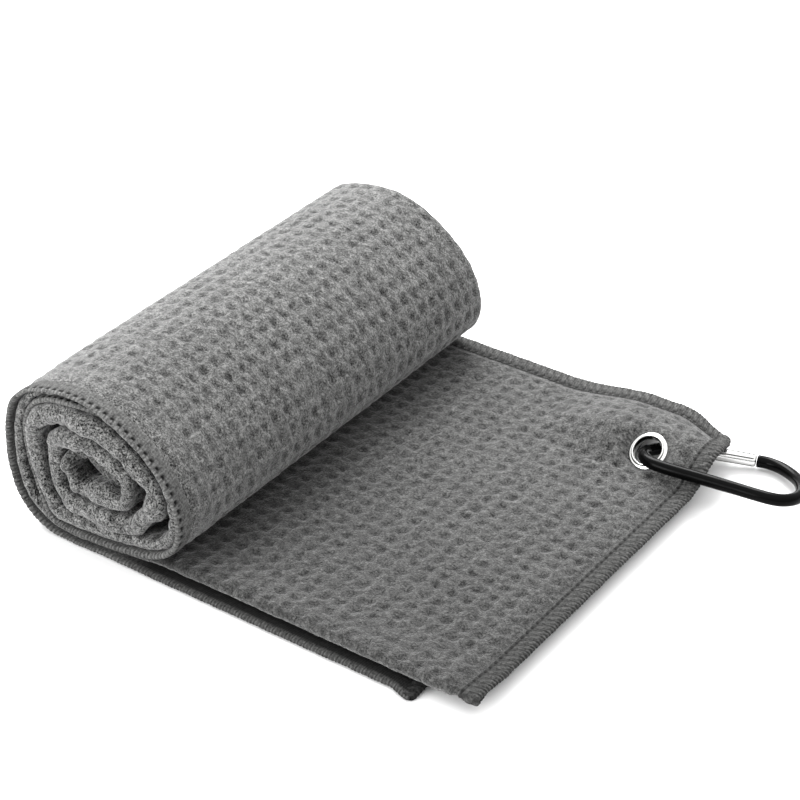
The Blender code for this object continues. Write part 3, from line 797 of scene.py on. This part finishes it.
def build_gate():
    """Sleeve over the part's gate, with three seams of its folded sheet, from the fork up to the nose."""
    start, end = HINGE + GATE_DIR * 2.2, TIP - GATE_DIR * 0.02
    pts = [start + (end - start) * f for f in (0.0, 0.02, 0.04, 0.3, 0.6, 0.94, 0.975, 1.0)]
    radii = [(GATE_R - 0.1,) * 2] + [(GATE_R + 0.2,) * 2] * 6 + [(GATE_R - 0.2,) * 2]
    seams = [(math.radians(a), w) for a, w in ((-46, 0.14), (34, 0.15), (92, 0.3))]
    return bar("gate_sleeve", pts, radii, 96, LOOP, seams)


# ---------------------------------------------------------------- materials

def tree_of(name):
    """New material with its node tree and shader."""
    mat = bpy.data.materials.new(name)
    mat.use_nodes = True
    nt = mat.node_tree
    return mat, nt, nt.nodes["Principled BSDF"]


def math_node(nt, op, a, b=None, clamp=False):
    n = nt.nodes.new("ShaderNodeMath")
    n.operation = op
    n.use_clamp = clamp
    for i, v in enumerate((a, b)):
        if v is None:
            continue
        if isinstance(v, (int, float)):
            n.inputs[i].default_value = v
        else:
            nt.links.new(v, n.inputs[i])
    return n.outputs[0]


def noise_node(nt, coord, scale, detail=2.0, rough=0.5, distortion=0.0):
    n = nt.nodes.new("ShaderNodeTexNoise")
    n.inputs["Scale"].default_value = scale
    n.inputs["Detail"].default_value = detail
    n.inputs["Roughness"].default_value = rough
    n.inputs["Distortion"].default_value = distortion
    nt.links.new(coord, n.inputs["Vector"])
    return n.outputs["Fac"]


def mapped(nt, value, lo, hi, to_lo, to_hi):
    n = nt.nodes.new("ShaderNodeMapRange")
    nt.links.new(value, n.inputs["Value"])
    for k, v in (("From Min", lo), ("From Max", hi), ("To Min", to_lo), ("To Max", to_hi)):
        n.inputs[k].default_value = v
    return n.outputs["Result"]


def scaled_colour(nt, colour, factor):
    n = nt.nodes.new("ShaderNodeVectorMath")
    n.operation = "SCALE"
    n.inputs[0].default_value = colour
    nt.links.new(factor, n.inputs["Scale"])
    return n.outputs[0]


def bump(nt, height, strength, distance, before=None):
    n = nt.nodes.new("ShaderNodeBump")
    n.inputs["Strength"].default_value = strength
    n.inputs["Distance"].default_value = distance
    nt.links.new(height, n.inputs["Height"])
    if before is not None:
        nt.links.new(before, n.inputs["Normal"])
    return n.outputs["Normal"]


def attribute(nt, name):
    n = nt.nodes.new("ShaderNodeAttribute")
    n.attribute_name = name
    return n.outputs["Fac"]


def cloth_material():
    """Looped microfibre pile: mottled grey with dark pits between the loops, and painted shade that darkens the
    dimples.
    """
    mat, nt, bsdf = tree_of("waffle_microfibre")
    coord = nt.nodes.new("ShaderNodeTexCoord").outputs["Object"]
    loops = noise_node(nt, coord, 2100, 2.0, 0.6, 0.5)
    tufts = noise_node(nt, coord, 700, 2.0, 0.5, 0.4)
    cloud = noise_node(nt, coord, 60, 2.0)
    dip = attribute(nt, "dip")
    f = math_node(nt, "MULTIPLY", mapped(nt, loops, 0.36, 0.64, -0.95, 0.95), attribute(nt, "grain"))
    f = math_node(nt, "ADD", f, 1.0)
    f = math_node(nt, "MULTIPLY", f, mapped(nt, tufts, 0.3, 0.7, 0.5, 1.5))
    f = math_node(nt, "MULTIPLY", f, mapped(nt, cloud, 0.3, 0.7, 0.95, 1.05))
    # painted shade: the dimples are darkened and their ridges a little lightened
    pits = math_node(nt, "MULTIPLY", dip, mapped(nt, noise_node(nt, coord, 520, 2.0), 0.34, 0.62, 0.4, 1.15), True)
    f = math_node(nt, "MULTIPLY", f, mapped(nt, pits, 0.0, 1.0, 1.17, 0.46))
    # painted shade of the roll on the tail and inside the core
    f = math_node(nt, "MULTIPLY", f, attribute(nt, "painted_shading"))
    nt.links.new(scaled_colour(nt, (0.08, 0.08, 0.0785), f), bsdf.inputs["Base Color"])
    bsdf.inputs["Roughness"].default_value = 0.95
    bsdf.inputs["Specular IOR Level"].default_value = 0.15
    bsdf.inputs["Sheen Weight"].default_value = 0.3
    bsdf.inputs["Sheen Roughness"].default_value = 0.4
    n1 = bump(nt, tufts, 0.5, 0.0006)
    n2 = bump(nt, loops, 0.8, 0.00035, n1)
    nt.links.new(n2, bsdf.inputs["Normal"])
    return mat


def hem_material():
    """Overlock thread: fine ribs across the band, with painted light and shade on the ribs, in the needle holes and
    along the rim.
    """
    mat, nt, bsdf = tree_of("overlock_thread")
    coord = nt.nodes.new("ShaderNodeTexCoord").outputs["Object"]
    grain = noise_node(nt, coord, 1400, 2.0, 0.6, 0.8)
    dip = attribute(nt, "dip")
    rib = attribute(nt, "rib")
    f = mapped(nt, grain, 0.32, 0.68, 0.45, 1.55)
    # painted light and shade across the ribs
    f = math_node(nt, "MULTIPLY", f, mapped(nt, rib, 0.0, 1.0, 0.74, 1.2))
    # painted light and shade of the needle holes, the rim's loops and the rope
    f = math_node(nt, "MULTIPLY", f, mapped(nt, dip, -0.5, 1.0, 1.5, 0.03))
    # painted shade, set for each edge of the hems
    f = math_node(nt, "MULTIPLY", f, attribute(nt, "painted_shading"))
    nt.links.new(scaled_colour(nt, (0.078, 0.078, 0.0765), f), bsdf.inputs["Base Color"])
    bsdf.inputs["Roughness"].default_value = 0.85
    bsdf.inputs["Specular IOR Level"].default_value = 0.1
    bsdf.inputs["Sheen Weight"].default_value = 0.03
    nt.links.new(bump(nt, grain, 0.5, 0.0002), bsdf.inputs["Normal"])
    return mat


def metal_material(name, colour, rough, seams=False):
    """Metal with uneven polish, and with dark seams where its mesh has the attribute dip."""
    mat, nt, bsdf = tree_of(name)
    coord = nt.nodes.new("ShaderNodeTexCoord").outputs["Object"]
    g = noise_node(nt, coord, 900, 3.0, 0.6)
    nt.links.new(mapped(nt, g, 0.3, 0.7, rough * 0.8, rough * 1.25), bsdf.inputs["Roughness"])
    if seams:
        shade = mapped(nt, attribute(nt, "dip"), 0.0, 0.7, 1.0, 0.02)
        nt.links.new(scaled_colour(nt, colour, shade), bsdf.inputs["Base Color"])
        nt.links.new(shade, bsdf.inputs["Metallic"])
        bsdf.inputs["Specular IOR Level"].default_value = 0.1
    else:
        bsdf.inputs["Base Color"].default_value = (*colour, 1.0)
        bsdf.inputs["Metallic"].default_value = 1.0
    return mat


def enamel_material():
    """Glossy black enamel with faint unevenness."""
    mat, nt, bsdf = tree_of("black_enamel")
    coord = nt.nodes.new("ShaderNodeTexCoord").outputs["Object"]
    g = noise_node(nt, coord, 500, 3.0, 0.6)
    nt.links.new(mapped(nt, g, 0.3, 0.7, 0.16, 0.26), bsdf.inputs["Roughness"])
    bsdf.inputs["Base Color"].default_value = (0.0015, 0.0015, 0.0015, 1.0)
    bsdf.inputs["IOR"].default_value = 1.3
    bsdf.inputs["Specular IOR Level"].default_value = 0.1
    nt.links.new(bump(nt, g, 0.15, 0.00005), bsdf.inputs["Normal"])
    return mat


def dress(ob, mat):
    ob.data.materials.clear()
    ob.data.materials.append(mat)


# ---------------------------------------------------------------- build

CLOTH = cloth_material()
HEM = hem_material()
CHROME = metal_material("polished_nickel", (0.64, 0.64, 0.63), 0.16)
SLEEVE = metal_material("folded_steel_sleeve", (0.66, 0.66, 0.65), 0.2, True)
STEEL = metal_material("plain_steel", (0.62, 0.62, 0.62), 0.3)
BLACK = enamel_material()

sheet = build_cloth()
dress(sheet, CLOTH)
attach(sheet, "towel")
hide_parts("towel_cloth_tail", "towel_cloth_roll")

hems = {
    "hem_bottom_edge": hem("overlock_bottom_edge", "t0", LENGTH, 420.0, -1, 1.15),
    "hem_top_edge": hem("overlock_top_edge", "t1", LENGTH, 250.0),
    "hem_free_end": hem("overlock_free_end", "s0", WIDTH, WIDTH),
    "hem_core_end": hem("overlock_core_end", "s1", WIDTH, 0.0),
}
for node, ob in hems.items():
    dress(ob, HEM)
    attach(ob, "towel")
    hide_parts(node)

ring = build_grommet()
dress(ring, CHROME)
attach(ring, "towel")
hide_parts("grommet_eyelet")
dress(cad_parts["grommet_washer"], CHROME)

bar_ob = build_carabiner()
dress(bar_ob, BLACK)
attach(bar_ob, "carabiner")
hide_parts("carabiner_body")
dress(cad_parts["carabiner_gate"], CHROME)
gate_ob = build_gate()
dress(gate_ob, SLEEVE)
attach(gate_ob, "gate")
dress(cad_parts["gate_hinge_pin"], STEEL)
dress(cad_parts["gate_spring"], STEEL)

# ---------------------------------------------------------------- studio

FORWARD = Vector((-0.4879, 0.6837, -0.5426)).normalized()
EYE = Vector(to_row(np.array((319.6, -346.0, 355.5))))
ROLL_ANGLE = math.radians(-0.37)
SENSOR, LENS = 36.0, 103.32


def studio():
    """Camera, pale floor, soft sky that is brighter overhead, and two soft lights."""
    scene = bpy.context.scene
    cam_data = bpy.data.cameras.new("camera")
    cam_data.sensor_width = SENSOR
    cam_data.lens = LENS
    cam_data.clip_start = 0.01
    cam_data.clip_end = 20.0
    cam = bpy.data.objects.new("camera", cam_data)
    cam.location = EYE
    rot = FORWARD.to_track_quat("-Z", "Y").to_matrix().to_4x4()
    cam.matrix_world = Matrix.Translation(EYE) @ rot @ Matrix.Rotation(ROLL_ANGLE, 4, "Z")
    scene.collection.objects.link(cam)
    scene.camera = cam

    bm = bmesh.new()
    bmesh.ops.create_grid(bm, x_segments=1, y_segments=1, size=3.0)
    me = bpy.data.meshes.new("floor")
    bm.to_mesh(me)
    bm.free()
    floor = bpy.data.objects.new("floor", me)
    floor.location.z = -0.0002
    scene.collection.objects.link(floor)
    mat, nt, bsdf = tree_of("pale_floor")
    bsdf.inputs["Base Color"].default_value = (0.78, 0.78, 0.78, 1.0)
    bsdf.inputs["Roughness"].default_value = 0.9
    bsdf.inputs["Specular IOR Level"].default_value = 0.0
    dress(floor, mat)

    world = bpy.data.worlds.new("studio")
    world.use_nodes = True
    nt = world.node_tree
    back = nt.nodes["Background"]
    back.inputs["Color"].default_value = (1, 1, 1, 1)
    up = nt.nodes.new("ShaderNodeSeparateXYZ")
    nt.links.new(nt.nodes.new("ShaderNodeTexCoord").outputs["Generated"], up.inputs[0])
    nt.links.new(mapped(nt, up.outputs["Z"], 0.0, 1.0, 0.55, 2.3), back.inputs["Strength"])
    scene.world = world

    def area(name, place, target, size, power):
        data = bpy.data.lights.new(name, "AREA")
        data.shape = "RECTANGLE"
        data.size = size[0]
        data.size_y = size[1]
        data.energy = power
        ob = bpy.data.objects.new(name, data)
        ob.location = place
        ob.rotation_euler = (Vector(target) - Vector(place)).to_track_quat("-Z", "Y").to_euler()
        scene.collection.objects.link(ob)

    area("key", (-0.32, 0.46, 0.5), (0, 0.02, 0.02), (0.45, 0.4), 10.5)
    area("fill", (-0.4, -0.85, 0.3), (-0.03, -0.06, 0.02), (0.6, 0.5), 9.0)
    scene.view_settings.view_transform = "Standard"
    scene.view_settings.look = "None"
    scene.view_settings.exposure = 0.0


studio()
